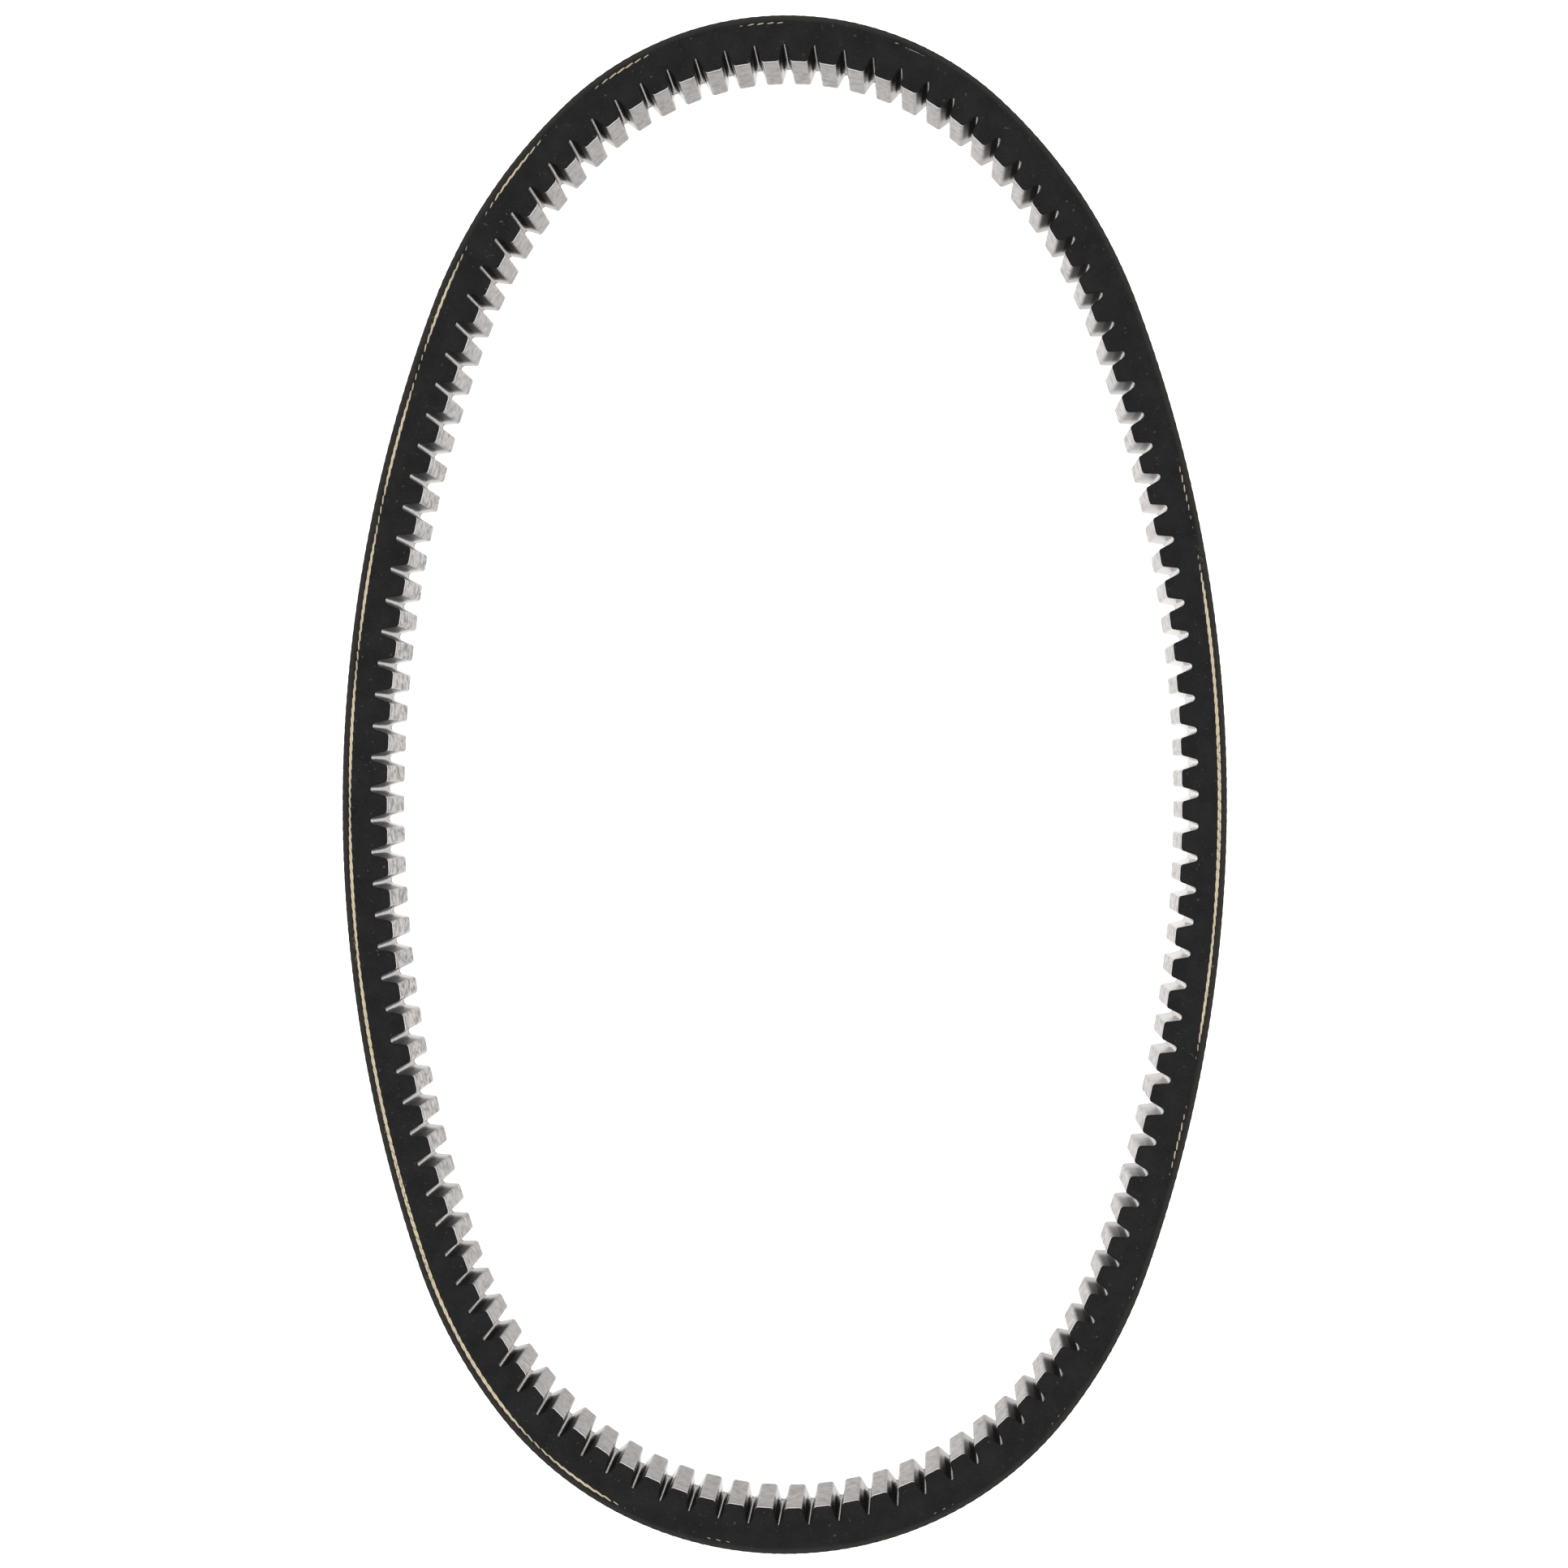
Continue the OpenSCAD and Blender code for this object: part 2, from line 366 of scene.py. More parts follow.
class Tubes:
    """Tubes gathered into one mesh, whose UV maps hold the places along the cord and in its section."""

    def __init__(self):
        self.vertices, self.faces, self.along, self.section = [], [], [], []

    def add(self, points, turn, x, z):
        """Adds a tube of points[ring, side], with each point's turn and place in the cord's section."""
        rings, sides = points.shape[:2]
        base = len(self.vertices)
        self.vertices += points.reshape(-1, 3).tolist()
        self.faces += [[base + k for k in face] for face in tube_faces(rings, sides)]
        turn, x, z = (np.broadcast_to(values, (rings, sides)) for values in (turn, x, z))
        self.along += np.stack([turn * LOOP / MM, x / MM], -1).reshape(-1, 2).tolist()
        self.section += np.stack([x / MM, z / MM], -1).reshape(-1, 2).tolist()

    def piece(self, name):
        """One piece of the belt, made of all the tubes."""
        mesh = bpy.data.meshes.new(name)
        mesh.from_pydata(self.vertices, [], self.faces)
        corners = np.empty(len(mesh.loops), dtype=np.int32)
        mesh.loops.foreach_get("vertex_index", corners)
        for layer_name, values in (("belt", self.along), ("cord", self.section)):
            layer = mesh.uv_layers.new(name=layer_name)
            layer.data.foreach_set("uv", np.array(values, dtype=np.float32)[corners].ravel())
        return finish_mesh(name, mesh, sharp_angle=70)


def face_turn(cut_turn, side):
    """Turn at which the upper face (side 1) or the lower face (side -1) halves a cord."""
    return cut_turn if side > 0 else cut_turn - 2 * FACE_Z / CORD_LEAD


def cut_cord(tubes, cut_turn, side):
    """The cut surface of a cord in one side face: strands puffed up a little, with hollows between them."""
    centre = face_turn(cut_turn, side)
    turn = np.arange(centre - FACE_REACH, centre + FACE_REACH, CUT_STEP / LOOP)[:, None]
    x = np.linspace(-1, 1, CUT_POINTS) * (CORD_R + CUT_MARGIN) + 0 * turn
    z = side * FACE_Z - cord_height(turn, cut_turn) + 0 * x
    radius = np.hypot(x, z)
    phase = strand_phase(turn, x, z)
    outline = CORD_R * (1 - STRAND_HOLLOW * (1 + np.cos(2 * math.pi * phase)) / 2)
    edge = np.clip(CUT_EDGE_OUTSIDE + (outline - radius) / CUT_EDGE, 0, 1)
    edge = edge**2 * (3 - 2 * edge)
    gap = np.abs(phase - np.round(phase)) * 2 * math.pi / STRANDS * radius
    puff = STRAND_PUFF * (1 - np.exp(-((gap / STRAND_GROOVE) ** 2)))
    lift = edge * (CUT_SINK + puff) - CUT_SINK
    underside = np.full((len(turn), 2), -CUT_UNDERSIDE)
    x = np.concatenate([x, x[:, -1:], x[:, :1]], 1)
    z = np.concatenate([z, z[:, :2]], 1)
    lift = np.concatenate([lift, underside], 1)
    depth = CORD_DEPTH - CUT_SPREAD * x
    height = MIDDLE_Z + side * (half_width(depth) + lift)
    tubes.add(loop_points(turn_distance(turn), depth, height), turn, x, z)


def covered_turns(tubes, cut_turn):
    """A plain round cord for the turns that the rubber covers."""
    first, last = face_turn(cut_turn, -1) + FACE_REACH, cut_turn - FACE_REACH
    turn = np.arange(first, last, COVERED_STEP / LOOP)[:, None]
    around = np.linspace(0, 2 * math.pi, COVERED_SIDES, endpoint=False)[None]
    x, z = CORD_R * np.cos(around), CORD_R * np.sin(around)
    height = MIDDLE_Z + cord_height(turn, cut_turn) + z
    tubes.add(loop_points(turn_distance(turn), CORD_DEPTH - x, height), turn, x, z)


def frayed_fibre(tubes, turn):
    """One loose fibre that stands out of a cord's cut edge over the upper face."""
    start = turn_distance(turn + rng.normal(0, FIBRE_SPREAD))
    length = rng.uniform(*FIBRE_LENGTH) * MM
    way = rng.uniform(*FIBRE_SLANT) * rng.choice([-1, 1])
    share = np.linspace(0, 1, FIBRE_POINTS)[:, None]
    s = start + length * share * math.cos(way) * rng.choice([-1, 1])
    curl = rng.normal(0, FIBRE_CURL) * length * share**2
    depth = CORD_DEPTH - FIBRE_START - length * share * abs(math.sin(way)) * FIBRE_SIDEWAYS + curl
    depth = np.clip(depth, FIBRE_LIMIT, ADHESION_END)
    rise = FIBRE_LIFT + rng.uniform(*FIBRE_ARCH) * MM * np.sin(math.pi * share * FIBRE_HALF_WAVE)
    around = np.linspace(0, 2 * math.pi, FIBRE_SIDES, endpoint=False)[None]
    radius = FIBRE_R * (1 - FIBRE_TAPER * share)
    depth = depth + radius * np.cos(around)
    height = MIDDLE_Z + half_width(depth) + rise + radius * np.sin(around)
    tubes.add(loop_points(s, depth, height), start / LOOP, FIBRE_PLACE, FIBRE_PLACE)


def tensile_cord(letter):
    """One whole cord: its two cut surfaces, its covered turns and its loose fibres."""
    cut_turn = CUT_TURNS[letter]
    tubes = Tubes()
    cut_cord(tubes, cut_turn, 1)
    cut_cord(tubes, cut_turn, -1)
    covered_turns(tubes, cut_turn)
    for turn, count in FRAYED[letter]:
        for _ in range(count):
            frayed_fibre(tubes, turn)
    piece = tubes.piece("cord_" + letter)
    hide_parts("tensile_cord_" + letter)
    return piece


def cord_dent(s, depth, side):
    """The rubber pulls back a little beside a cut cord."""
    near = np.exp(-(((depth - CORD_DEPTH) / DENT_WIDTH) ** 2))
    turn = 0.25 - s / LOOP
    shown = 0
    for cut_turn in CUT_TURNS.values():
        for face in (-1, 1):
            whole_turns = np.round(face_turn(cut_turn, face) - turn)
            over = np.abs(cord_height(turn + whole_turns, cut_turn) - face * FACE_Z) / CORD_R
            shown = shown + np.where(side == face, np.clip(DENT_END - over, 0, 1), 0)
    return -DENT_DEPTH * near * np.sqrt(np.clip(shown, 0, 1))


# --- Cogs ---

# Numbers of points that draw half of a gap's bottom, a flank and a rounded tip, and steps along a land
ROOT_POINTS = 7
FLANK_POINTS = 6
TIP_POINTS = 6
LAND_STEPS = 6

BODY_ROWS = 8
FACING_ROWS = 16

EDGE_WEAR = 0.2 * MM
# Least wear of a cut edge, on the flanks, as a share of the wear at the tips
LEAST_WEAR = 0.15
# How far the middle ring of a worn edge is set back from both faces, as a share of the wear
MIDDLE_RING = 0.3
FACING_UNEVENNESS = 0.02 * MM
# The attribute tip rises from 0 to 1 over a depth that begins this far below the tips
TIP_START = 0.6 * MM
TIP_RISE = 0.5 * MM
# The attribute root falls from 1 to 0 over this depth from the bottoms of the gaps
ROOT_FALL = 2.2 * MM
# Difference in the UV map between the three rings of a worn edge, and a little more than all of them
RING_MARK = 0.01 * MM
WORN_MARK = 2.2 * RING_MARK


def gap_half(back_r, skin):
    """Half of a gap from its bottom to the cog tip, in the gap's own frame: tangent x and depth y."""
    bend = COG_PITCH / (back_r - CORD_DEPTH)
    slope = FLANK - bend / 2
    sine, cosine = math.sin(slope), math.cos(slope)
    reach = (back_r - THICKNESS) * (math.sin(FLANK) - sine) - COG_TIP_WIDTH / 2 * math.cos(FLANK)
    bare_r = (reach - COG_HEIGHT * sine) / (1 - sine)
    root_y = THICKNESS - COG_HEIGHT + bare_r
    root_r, tip_r = bare_r + skin, COG_TIP_R - skin
    tip_y = THICKNESS - COG_TIP_R
    tip_x = (root_r + tip_r + (tip_y - root_y) * sine) / cosine
    turn = np.linspace(-math.pi / 2, -slope, ROOT_POINTS)
    root = np.stack([root_r * np.cos(turn), root_y + root_r * np.sin(turn)], -1)
    turn = np.linspace(math.pi - slope, math.pi / 2, TIP_POINTS)
    tip = np.stack([tip_x + tip_r * np.cos(turn), tip_y + tip_r * np.sin(turn)], -1)
    share = np.linspace(0, 1, FLANK_POINTS)[1:-1, None]
    flank = root[-1] * (1 - share) + tip[0] * share
    return np.concatenate([root, flank, tip])


def gap_profile(k, skin):
    """Distance and depth of every point of one gap's outline."""
    s_gap = (k + FIRST_GAP) * COG_PITCH
    back_r = float(ARC_R[arc_index(np.array(s_gap))[0]])
    half = gap_half(back_r, skin)
    x = np.concatenate([-half[::-1, 0], half[1:, 0]])
    y = np.concatenate([half[::-1, 1], half[1:, 1]])
    angle = np.arctan2(x, back_r - y)
    return s_gap + angle * (back_r - CORD_DEPTH), back_r - np.hypot(x, back_r - y)


def cog_profile(skin):
    """Distance and depth of every point of the cogs' outline, once round the loop."""
    gaps = [gap_profile(k, skin) for k in range(COG_COUNT)]
    share = np.linspace(0, 1, LAND_STEPS + 1)[1:-1]
    s, depth = [], []
    for (gap_s, gap_depth), (next_s, next_depth) in zip(gaps, gaps[1:] + gaps[:1]):
        land_end = next_s[0] + (LOOP if next_s[0] < gap_s[0] else 0)
        s += [gap_s, gap_s[-1] + (land_end - gap_s[-1]) * share]
        depth += [gap_depth, gap_depth[-1] + (next_depth[0] - gap_depth[-1]) * share]
    return np.concatenate(s), np.concatenate(depth)


def profile_length(s, depth):
    """Distance along a closed profile of each of its points, and of its end."""
    points = loop_points(s, depth, 0)
    steps = np.linalg.norm(np.diff(points, axis=0, append=points[:1]), axis=1)
    return np.concatenate([[0], np.cumsum(steps)])


def compression_rubber():
    """The body of the belt under the cord, with its cogs."""
    s_edge, depth_edge = cog_profile(FACING)
    share = (np.arange(BODY_ROWS + 1) / BODY_ROWS)[None]
    s_base = np.linspace(0, LOOP, len(s_edge), endpoint=False) + s_edge.min()
    s_side = s_base[:, None] * (1 - share) + s_edge[:, None] * share
    depth_side = ADHESION_END * (1 - share) + depth_edge[:, None] * share
    s = np.concatenate([s_side, s_side[:, ::-1]], 1)
    depth = np.concatenate([depth_side, depth_side[:, ::-1]], 1)
    side = np.repeat([-1, 1], BODY_ROWS + 1)
    z = MIDDLE_Z + side * (half_width(depth) + cut_relief(s, depth))
    across = np.concatenate([share[0], 1 + share[0]]) * THICKNESS
    piece = grid_mesh("cog_rubber", loop_points(s, depth, z), across)
    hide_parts("compression_rubber")
    return piece


def cog_facing():
    """The fabric skin of the cogs. Its cut edges are worn round, and attributes mark tips and roots."""
    s_out, depth_out = (values[:, None] for values in cog_profile(0))
    s_in, depth_in = (values[:, None] for values in cog_profile(FACING))
    share = np.linspace(-1, 1, FACING_ROWS + 1)
    inner_share = share[1:-1]
    uneven = waves(s_out, share * MIDDLE_Z, seed=21, longest=8 * MM) * (1 - share**4)
    half = half_width(depth_out) + cut_relief(s_out, depth_out)
    tip = np.clip((depth_out - (THICKNESS - TIP_START)) / TIP_RISE, 0, 1)
    root = np.clip(1 - (depth_out - (THICKNESS - COG_HEIGHT)) / ROOT_FALL, 0, 1)

    # Three rings round each cut edge off: the first lies in the side face, and the last in the land.
    worn = EDGE_WEAR * (LEAST_WEAR + (1 - LEAST_WEAR) * tip)
    inner = np.zeros((len(s_out), len(inner_share)))
    middle, none = MIDDLE_RING * worn, 0 * worn
    inset = np.concatenate([worn, middle, none, inner, none, middle, worn], 1)
    drop = np.concatenate([none, middle, worn, inner, worn, middle, none], 1)
    sign = np.concatenate([-np.ones(3), inner_share, np.ones(3)])
    toward = inset / FACING
    s_face = s_out * (1 - toward) + s_in * toward
    depth_face = depth_out * (1 - toward) + depth_in * toward
    depth_face[:, 2:-2] += FACING_UNEVENNESS * (uneven - 1)
    z_face = MIDDLE_Z + sign * half - np.sign(sign) * drop

    s = np.concatenate([s_face, s_in, s_in], 1)
    depth = np.concatenate([depth_face, depth_in, depth_in], 1)
    half_in = half_width(depth_in)
    z = np.concatenate([z_face, MIDDLE_Z + half_in, MIDDLE_Z - half_in], 1)
    marks = np.concatenate([[0, 1, 2], 0 * inner_share, [-2, -1, 0]]) * RING_MARK
    across = (sign + 1) * MIDDLE_Z + marks
    across = np.concatenate([across, [BACK_WIDTH + FACING, BACK_WIDTH + 2 * FACING]])
    along = profile_length(s_out[:, 0], depth_out[:, 0])
    piece = grid_mesh("cog_fabric", loop_points(s, depth, z), across, along)
    for part, values in (("tip", tip), ("root", root)):
        attribute = piece.data.attributes.new(part, "FLOAT", "POINT")
        attribute.data.foreach_set("value", np.broadcast_to(values, s.shape).astype(np.float32).ravel())
    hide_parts("cog_facing_fabric")
    return piece


# --- Materials ---

# Place across, in the UV maps, past which lies the canvas's cut edge or the facing's inner face
PAST_FACE = BACK_WIDTH / MM + 0.01


def as_colour(value):
    """A colour with alpha, from three numbers or from one grey."""
    return (*value, 1) if isinstance(value, tuple) else (value, value, value, 1)


class Shader:
    """A material under construction, with short ways to add and join its nodes."""

    def __init__(self, name):
        self.material = bpy.data.materials.new(name)
        self.material.use_nodes = True
        self.tree = self.material.node_tree
        self.surface = self.tree.nodes["Principled BSDF"]

    def plug(self, socket, value):
        """Joins another node's output to a socket, or gives the socket a fixed value."""
        if isinstance(value, bpy.types.NodeSocket):
            self.tree.links.new(value, socket)
        elif socket.type == "RGBA":
            socket.default_value = as_colour(value)
        else:
            socket.default_value = value

    def add(self, kind, inputs=None, **settings):
        """A new node with its inputs, each an output or a fixed value, and its settings."""
        node = self.tree.nodes.new(kind)
        for key, value in settings.items():
            setattr(node, key, value)
        for key, value in (inputs or {}).items():
            self.plug(node.inputs[key], value)
        return node

    def belt_uv(self, along=1.0, across=1.0):
        """Millimetres along the belt and across it, each divided by a length."""
        uv = self.add("ShaderNodeUVMap", uv_map="belt")
        scale = (1 / along, 1 / across, 1)
        return self.add("ShaderNodeMapping", {"Vector": uv.outputs["UV"], "Scale": scale}).outputs["Vector"]

    def object_mm(self, grain=1.0):
        """Millimetres in the belt's own frame, divided by a length."""
        place = self.add("ShaderNodeTexCoord").outputs["Object"]
        scale = (1 / (grain * MM),) * 3
        return self.add("ShaderNodeMapping", {"Vector": place, "Scale": scale}).outputs["Vector"]

    def axis(self, vector, letter):
        return self.add("ShaderNodeSeparateXYZ", {"Vector": vector}).outputs[letter]

    def attribute(self, name):
        return self.add("ShaderNodeAttribute", attribute_name=name).outputs["Fac"]

    def noise(self, vector, detail=4.0, roughness=0.55, distortion=0.0):
        inputs = {"Vector": vector, "Scale": 1.0, "Detail": detail, "Roughness": roughness}
        return self.add("ShaderNodeTexNoise", {**inputs, "Distortion": distortion}).outputs["Fac"]

    def ramp(self, value, stops):
        node = self.add("ShaderNodeValToRGB", {"Fac": value})
        elements = node.color_ramp.elements
        while len(elements) < len(stops):
            elements.new(0.5)
        for element, (position, colour) in zip(elements, stops):
            element.position = position
            element.color = as_colour(colour)
        return node.outputs["Color"]

    def map_range(self, value, low, high, to_low=0.0, to_high=1.0):
        return self.add("ShaderNodeMapRange", {0: value, 1: low, 2: high, 3: to_low, 4: to_high}).outputs[0]

    def math(self, operation, first, second=0.0):
        return self.add("ShaderNodeMath", {0: first, 1: second}, operation=operation).outputs[0]

    def plus(self, first, second):
        return self.math("ADD", first, second)

    def minus(self, first, second):
        return self.math("SUBTRACT", first, second)

    def times(self, first, second):
        return self.math("MULTIPLY", first, second)

    def size(self, value):
        return self.math("ABSOLUTE", value)

    def mix(self, share, first, second):
        node = self.add("ShaderNodeMix", data_type="RGBA")
        for socket, value in ((node.inputs[0], share), (node.inputs[6], first), (node.inputs[7], second)):
            self.plug(socket, value)
        return node.outputs[2]

    def bump(self, height, distance, under=None):
        inputs = {"Height": height, "Distance": distance}
        if under is not None:
            inputs["Normal"] = under
        return self.add("ShaderNodeBump", inputs).outputs["Normal"]

    def finish(self, colour, roughness, normal, gloss):
        """Sets the surface's own sockets. The gloss is the specular level."""
        self.plug(self.surface.inputs["Base Color"], colour)
        self.plug(self.surface.inputs["Roughness"], roughness)
        self.plug(self.surface.inputs["Specular IOR Level"], gloss)
        if normal is not None:
            self.plug(self.surface.inputs["Normal"], normal)
        return self.material


def rubber_material(name, dark, light, warm=0.0):
    """Raw-cut rubber: fine grain, streaks along the cut, pale specks and a little curled lint."""
    shader = Shader(name)
    grain = shader.noise(shader.object_mm(0.5))
    patches = shader.noise(shader.object_mm(6.0), detail=2.0)
    streaks = shader.noise(shader.belt_uv(4.0, 0.25), detail=3.0)
    tone = shader.plus(shader.times(grain, 0.5), shader.times(patches, 0.5))
    dark_colour = (dark * (1 + warm), dark, dark * (1 - warm))
    light_colour = (light * (1 + warm), light, light * (1 - warm))
    colour = shader.ramp(tone, [(0.36, dark_colour), (0.64, light_colour)])
    specks = shader.ramp(shader.noise(shader.object_mm(0.35), detail=1.0), [(0.70, 0.0), (0.80, 1.0)])
    colour = shader.mix(shader.times(specks, 0.25), colour, (0.10, 0.095, 0.085))

    # The noise's contour at one half draws thin curls, and few of them lie where the mask shows them.
    off_contour = shader.size(shader.minus(shader.noise(shader.object_mm(1.1), detail=0.0), 0.5))
    curls = shader.ramp(off_contour, [(0.0, 0.5), (0.05, 0.0)])
    mask = shader.ramp(shader.noise(shader.object_mm(1.0), detail=0.0), [(0.74, 0.0), (0.79, 1.0)])
    colour = shader.mix(shader.times(curls, mask), colour, (0.20, 0.19, 0.17))

    roughness = shader.ramp(streaks, [(0.3, 0.55), (0.7, 0.75)])
    normal = shader.bump(grain, 0.03 * MM)
    normal = shader.bump(streaks, 0.02 * MM, under=normal)
    return shader.finish(colour, roughness, normal, gloss=0.25)


def canvas_material():
    """Rubber-filled bias canvas, paler on its crowns. Its cut edge on the upper face shows no weave."""
    shader = Shader("back_canvas")
    uv = shader.belt_uv()
    along = shader.times(shader.axis(uv, "X"), WEAVE_ALONG * MM)
    across = shader.times(shader.axis(uv, "Y"), WEAVE_ACROSS * MM)
    one = shader.math("COSINE", shader.plus(along, across))
    other = shader.math("COSINE", shader.minus(along, across))
    weave = shader.plus(shader.times(shader.plus(one, other), 0.25), 0.5)
    back = shader.math("LESS_THAN", shader.axis(uv, "Y"), PAST_FACE)
    weave = shader.mix(back, 0.50, weave)
    grain = shader.noise(shader.object_mm(0.4))
    tone = shader.plus(shader.times(weave, 0.75), shader.times(grain, 0.25))
    colour = shader.ramp(tone, [(0.3, (0.010, 0.009, 0.008)), (0.9, (0.085, 0.076, 0.066))])
    roughness = shader.ramp(grain, [(0.3, 0.6), (0.7, 0.8)])
    normal = shader.bump(weave, 0.06 * MM)
    normal = shader.bump(grain, 0.04 * MM, under=normal)
    return shader.finish(colour, roughness, normal, gloss=0.25)


def cord_material():
    """Dipped polyester: pale tan fibres along each strand, and painted shade along the grooves where two
    strands meet.
    """
    shader = Shader("cord")
    along = shader.axis(shader.belt_uv(), "X")
    section = shader.add("ShaderNodeUVMap", uv_map="cord").outputs["UV"]
    x, z = shader.axis(section, "X"), shader.axis(section, "Y")
    turn = shader.math("DIVIDE", shader.math("ARCTAN2", z, x), 2 * math.pi)
    phase = shader.times(shader.minus(turn, shader.math("DIVIDE", along, LAY / MM)), STRANDS)
    off = shader.size(shader.minus(phase, shader.math("ROUND", phase)))
    radius = shader.math("SQRT", shader.plus(shader.times(x, x), shader.times(z, z)))
    gap = shader.times(shader.times(off, radius), 2 * math.pi / STRANDS)
    # Painted shade: darker colour close to the line where two strands meet, in the groove between them
    groove_shade = shader.ramp(gap, [(0.01, 0.85), (0.05, 0.0)])

    strand = shader.add("ShaderNodeCombineXYZ", {"X": shader.math("DIVIDE", along, 1.6), "Y": phase})
    fine = shader.add("ShaderNodeMapping", {"Vector": strand.outputs["Vector"], "Scale": (1, 9, 1)})
    fibres = shader.noise(fine.outputs["Vector"], detail=3.0)
    dark, middle, pale = (0.55, 0.44, 0.29), (0.88, 0.76, 0.53), (0.95, 0.88, 0.69)
    colour = shader.ramp(fibres, [(0.28, dark), (0.5, middle), (0.75, pale)])
    stain = shader.ramp(shader.noise(shader.belt_uv(11.0, 6.0), detail=3.0), [(0.50, 0.0), (0.8, 0.3)])
    colour = shader.mix(stain, colour, (0.50, 0.38, 0.25))
    shallow_cut = shader.ramp(shader.size(z), [(0.28, 0.0), (0.44, 0.5)])
    colour = shader.mix(shallow_cut, colour, (0.10, 0.08, 0.06))
    colour = shader.mix(groove_shade, colour, (0.26, 0.19, 0.12))
    return shader.finish(colour, 0.75, shader.bump(fibres, 0.03 * MM), gloss=0.3)


# Where the cog facing changes round the loop, in millimetres along the frame's X
LEFT_SIDE = (-104.0, -80.0)
# The same, in millimetres away from the oval's long axis
SHOULDERS = (30.0, 72.0)
LONG_SIDES = (78.0, 104.0)
# Heights over which the dull film on the flanks begins, in millimetres across the belt
FILM_EDGE = (4.0, 12.0)
# The film's share all over the shoulders' flanks, and its loss on both long sides and on the right one
FILM_ON_SHOULDERS = 0.75
FILM_LOSS = 0.6
FILM_LOSS_RIGHT = 0.4
# Values of the attribute root between which the glossy strip with its painted highlight begins, at the ends
# and past the shoulders
STRIP_AT_ENDS = (0.985, 0.998)
STRIP_AT_SIDES = (0.90, 0.97)


def facing_wrinkles(shader, x):
    """Soft streaks round one half, with more contrast on the left side, where the tips are rubbed more."""
    streaks = shader.noise(shader.belt_uv(2.4, 3.6), roughness=0.5, distortion=0.9)
    contrast = shader.map_range(x, *LEFT_SIDE, 1.1, 0.4)
    return shader.plus(shader.times(shader.minus(streaks, 0.5), contrast), 0.5)


def facing_gloss_and_highlight_strip(shader, root, shoulder):
    """The share of gloss and of a painted highlight along a gap's bottom, in a strip that is wider on the
    shoulders and sides.
    """
    low = shader.map_range(shoulder, 0.0, 1.0, STRIP_AT_ENDS[0], STRIP_AT_SIDES[0])
    high = shader.map_range(shoulder, 0.0, 1.0, STRIP_AT_ENDS[1], STRIP_AT_SIDES[1])
    blotches = shader.noise(shader.object_mm(0.9), detail=2.0)
    mottle = shader.ramp(blotches, [(0.35, 0.6), (0.6, 1.0)])
    return shader.times(shader.map_range(root, low, high), mottle)


def facing_film(shader, root, shoulder, x, across):
    """The share of a dull film: near the gaps' bottoms at the ends, and all over the shoulders' flanks.

    It fades out on the long sides, most of all on the right one, and towards the belt's underside.
    """
    film = shader.ramp(root, [(0.0, 0.0), (0.15, 1.0)])
    film = shader.math("MAXIMUM", film, shader.times(shoulder, FILM_ON_SHOULDERS))
    either_side = shader.times(shader.map_range(shader.size(x), *LONG_SIDES), FILM_LOSS)
    right_side = shader.times(shader.map_range(x, *LONG_SIDES), FILM_LOSS_RIGHT)
    film = shader.times(film, shader.minus(1.0, shader.plus(either_side, right_side)))
    return shader.times(film, shader.map_range(across, *FILM_EDGE))


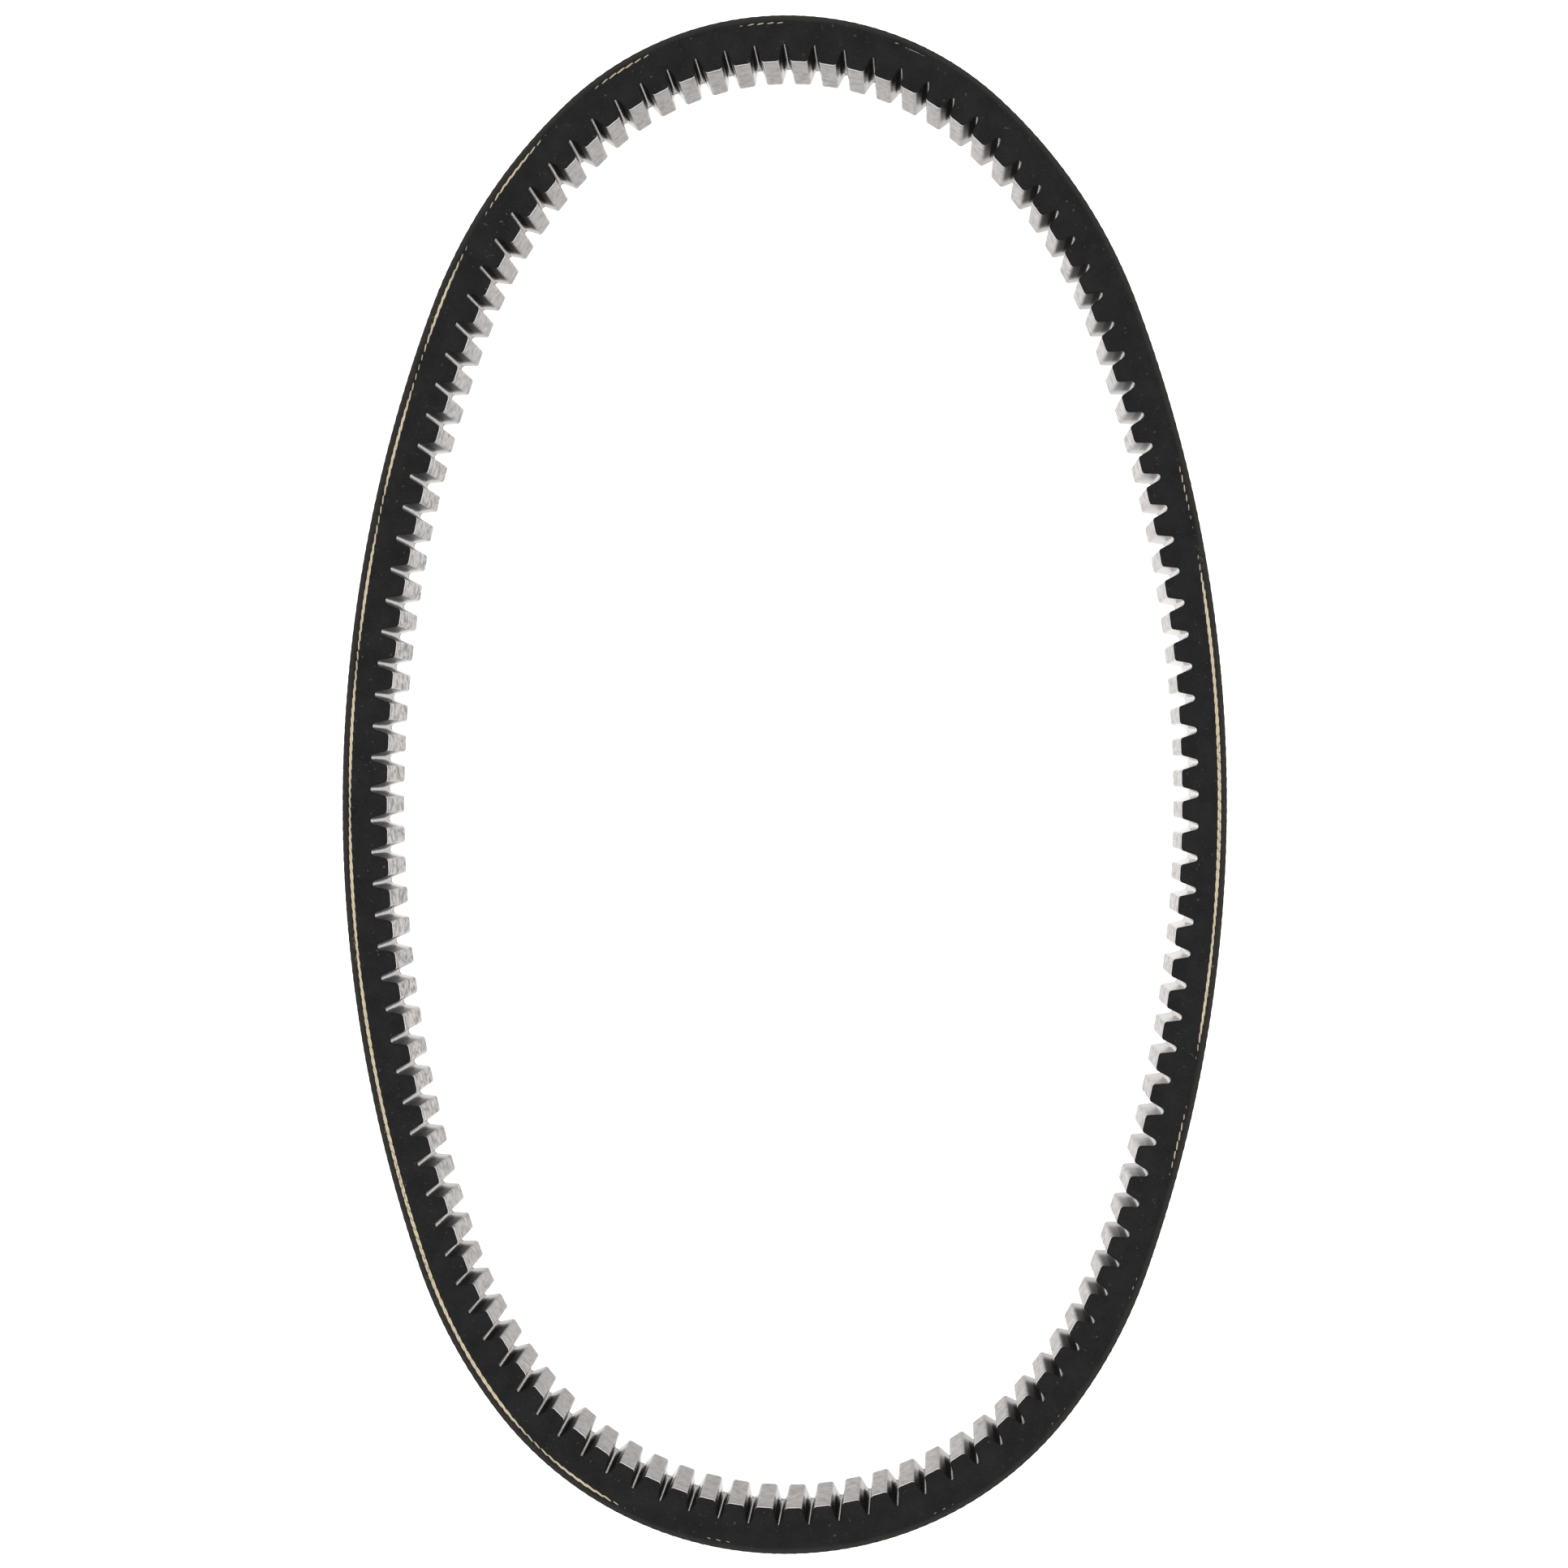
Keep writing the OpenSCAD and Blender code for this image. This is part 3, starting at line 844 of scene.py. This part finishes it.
def facing_material():
    """Stretch fabric filled with rubber: rubbed tips, dark flanks, a glossy strip along each gap with a
    painted highlight, and a painted highlight along the tips' worn edges.
    """
    shader = Shader("cog_facing")
    tip, root = shader.attribute("tip"), shader.attribute("root")
    x = shader.axis(shader.object_mm(), "X")
    across = shader.axis(shader.belt_uv(), "Y")
    shoulder = shader.map_range(shader.size(x), *SHOULDERS)
    wrinkles = facing_wrinkles(shader, x)
    gloss_and_highlight_strip = facing_gloss_and_highlight_strip(shader, root, shoulder)
    film = facing_film(shader, root, shoulder, x, across)
    inner_face = shader.math("GREATER_THAN", across, PAST_FACE)

    dark, middle, pale = (0.024, 0.016, 0.011), (0.065, 0.056, 0.047), (0.16, 0.155, 0.15)
    rubbed = shader.ramp(wrinkles, [(0.38, dark), (0.50, middle), (0.62, pale)])
    patches = shader.ramp(shader.noise(shader.object_mm(9.0), detail=2.0), [(0.45, 0.0), (0.7, 0.6)])
    rubbed = shader.mix(patches, rubbed, (0.060, 0.044, 0.034))
    moulded = shader.ramp(wrinkles, [(0.35, (0.006, 0.004, 0.003)), (0.65, (0.013, 0.010, 0.008))])
    # Painted highlight: a pale grey line along each gap's bottom, where the moulded surface is also glossy
    moulded = shader.mix(gloss_and_highlight_strip, moulded, (0.30, 0.29, 0.28))
    colour = shader.mix(tip, moulded, rubbed)
    colour = shader.mix(inner_face, colour, (0.013, 0.012, 0.011))

    # Painted highlight: a near-white line along the worn, rounded edges of the tips
    off_middle = shader.size(shader.minus(across, MIDDLE_Z / MM))
    edge_highlight = shader.math("GREATER_THAN", off_middle, (MIDDLE_Z - WORN_MARK) / MM)
    edge_highlight = shader.times(edge_highlight, shader.minus(1.0, inner_face))
    edge_highlight = shader.times(edge_highlight, shader.times(tip, 0.9))
    colour = shader.mix(edge_highlight, colour, (0.92, 0.88, 0.90))

    rubbed_roughness = shader.ramp(wrinkles, [(0.38, 0.38), (0.50, 0.22), (0.62, 0.14)])
    roughness = shader.mix(gloss_and_highlight_strip, shader.ramp(film, [(0.0, 0.13), (1.0, 0.70)]), 0.12)
    roughness = shader.mix(tip, roughness, rubbed_roughness)
    roughness = shader.mix(inner_face, roughness, 0.7)
    gloss = shader.mix(gloss_and_highlight_strip, shader.ramp(film, [(0.0, 0.5), (1.0, 0.1)]), 0.6)
    gloss = shader.mix(tip, gloss, 0.5)
    gloss = shader.mix(inner_face, gloss, 0.2)

    threads = shader.noise(shader.belt_uv(0.4, 2.5), detail=2.0)
    normal = shader.bump(shader.times(wrinkles, tip), 0.03 * MM)
    normal = shader.bump(shader.times(threads, tip), 0.003 * MM, under=normal)
    return shader.finish(colour, roughness, normal, gloss)


def floor_material():
    """A pale floor with a glow of its own, which keeps it white and is mirrored by the cogs."""
    shader = Shader("pale_floor")
    tone = shader.noise(shader.object_mm(60.0), detail=2.0)
    colour = shader.ramp(tone, [(0.3, 0.44), (0.7, 0.46)])
    shader.plug(shader.surface.inputs["Emission Color"], (1, 0.965, 0.94))
    shader.plug(shader.surface.inputs["Emission Strength"], 1.3)
    return shader.finish(colour, 0.9, None, gloss=0.1)


# --- Camera, floor and light ---

AIM = Vector((0.76, 0.44, 30.0)) * MM
CAMERA_OFFSET = Vector((37.3, 3.5, 740.7)) * MM
CAMERA_ROLL = math.radians(0.11)
LENS = 62.87
SENSOR = 36.0
CLIP_START = 0.01
CLIP_END = 20

FLOOR_HALF = 4.0
FLOOR_GAP = 0.2 * MM

SOFTBOX_COUNT = 4
SOFTBOX_AZIMUTH = 35
SOFTBOX_ELEVATION = 42
SOFTBOX_POWER = 10.8
SOFTBOX_SIZE = 1.4
SOFTBOX_DISTANCE = 2.2
WORLD_STRENGTH = 0.3


def add_camera():
    """The camera, set by the point that it looks at, its place from there and its roll."""
    data = bpy.data.cameras.new("camera")
    data.lens, data.sensor_width = LENS, SENSOR
    data.clip_start, data.clip_end = CLIP_START, CLIP_END
    camera = bpy.data.objects.new("camera", data)
    bpy.context.scene.collection.objects.link(camera)
    back = CAMERA_OFFSET.normalized()
    right = Vector((0, 1, 0)).cross(back).normalized()
    up = back.cross(right)
    turn = Matrix((right, up, back)).transposed() @ Matrix.Rotation(CAMERA_ROLL, 3, "Z")
    camera.matrix_world = Matrix.Translation(AIM + CAMERA_OFFSET) @ turn.to_4x4()
    bpy.context.scene.camera = camera


def add_floor(material):
    """A flat floor just under the belt. It is stage, and no piece of the belt."""
    corners = [(x * FLOOR_HALF, y * FLOOR_HALF, 0) for x, y in ((-1, -1), (1, -1), (1, 1), (-1, 1))]
    mesh = bpy.data.meshes.new("floor")
    mesh.from_pydata(corners, [], [(0, 1, 2, 3)])
    mesh.materials.append(material)
    floor = bpy.data.objects.new("floor", mesh)
    bpy.context.scene.collection.objects.link(floor)
    floor.location.z = cad_low.z - FLOOR_GAP


def add_softbox(name, azimuth):
    """A square area light that faces the origin from above."""
    data = bpy.data.lights.new(name, "AREA")
    data.shape, data.size, data.energy = "SQUARE", SOFTBOX_SIZE, SOFTBOX_POWER
    light = bpy.data.objects.new(name, data)
    bpy.context.scene.collection.objects.link(light)
    turn, rise = math.radians(azimuth), math.radians(SOFTBOX_ELEVATION)
    way = Vector((math.cos(turn) * math.cos(rise), math.sin(turn) * math.cos(rise), math.sin(rise)))
    light.location = way * SOFTBOX_DISTANCE
    light.rotation_euler = way.to_track_quat("Z", "Y").to_euler()


def add_world():
    """An even white surround."""
    world = bpy.data.worlds.new("studio")
    world.use_nodes = True
    background = world.node_tree.nodes["Background"]
    background.inputs["Color"].default_value = (1, 1, 1, 1)
    background.inputs["Strength"].default_value = WORLD_STRENGTH
    bpy.context.scene.world = world


add_camera()
add_floor(floor_material())
add_world()
for number in range(SOFTBOX_COUNT):
    add_softbox(f"softbox_{number}", SOFTBOX_AZIMUTH + number * 360 / SOFTBOX_COUNT)
bpy.context.scene.view_settings.view_transform = "Standard"

# --- The belt ---


def lay(piece, material):
    """Gives a piece its material, and lets it ride on the belt's one body."""
    piece.data.materials.append(material)
    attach(piece, "root")


def lay_ply(name, node, material, start, end, rows, dent=None):
    """A swept ply that replaces a node."""
    piece = swept_ply(name, start, end, rows, dent)
    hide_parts(node)
    lay(piece, material)


cut_rubber = rubber_material("cut_rubber", 0.006, 0.017)
soft_rubber = rubber_material("adhesion_rubber", 0.006, 0.017)
strip_rubber = rubber_material("tension_rubber", 0.014, 0.029, warm=0.08)
canvas = canvas_material()

lay(back_fabric_outer(), canvas)
lay_ply("back_canvas_inner", "back_fabric_inner", canvas, BACK_PLY, 2 * BACK_PLY, 2)
lay_ply(
    "overcord_rubber", "tension_rubber", strip_rubber,
    2 * BACK_PLY, SQUARE_EDGE, 2, cord_dent,
)
lay_ply(
    "bond_rubber_upper", "adhesion_rubber_upper", soft_rubber,
    SQUARE_EDGE, CORD_DEPTH, 3, cord_dent,
)
lay_ply(
    "bond_rubber_lower", "adhesion_rubber_lower", soft_rubber,
    CORD_DEPTH, ADHESION_END, 5, cord_dent,
)

tan_cord = cord_material()
for letter in CUT_TURNS:
    lay(tensile_cord(letter), tan_cord)
lay(compression_rubber(), cut_rubber)
lay(cog_facing(), facing_material())
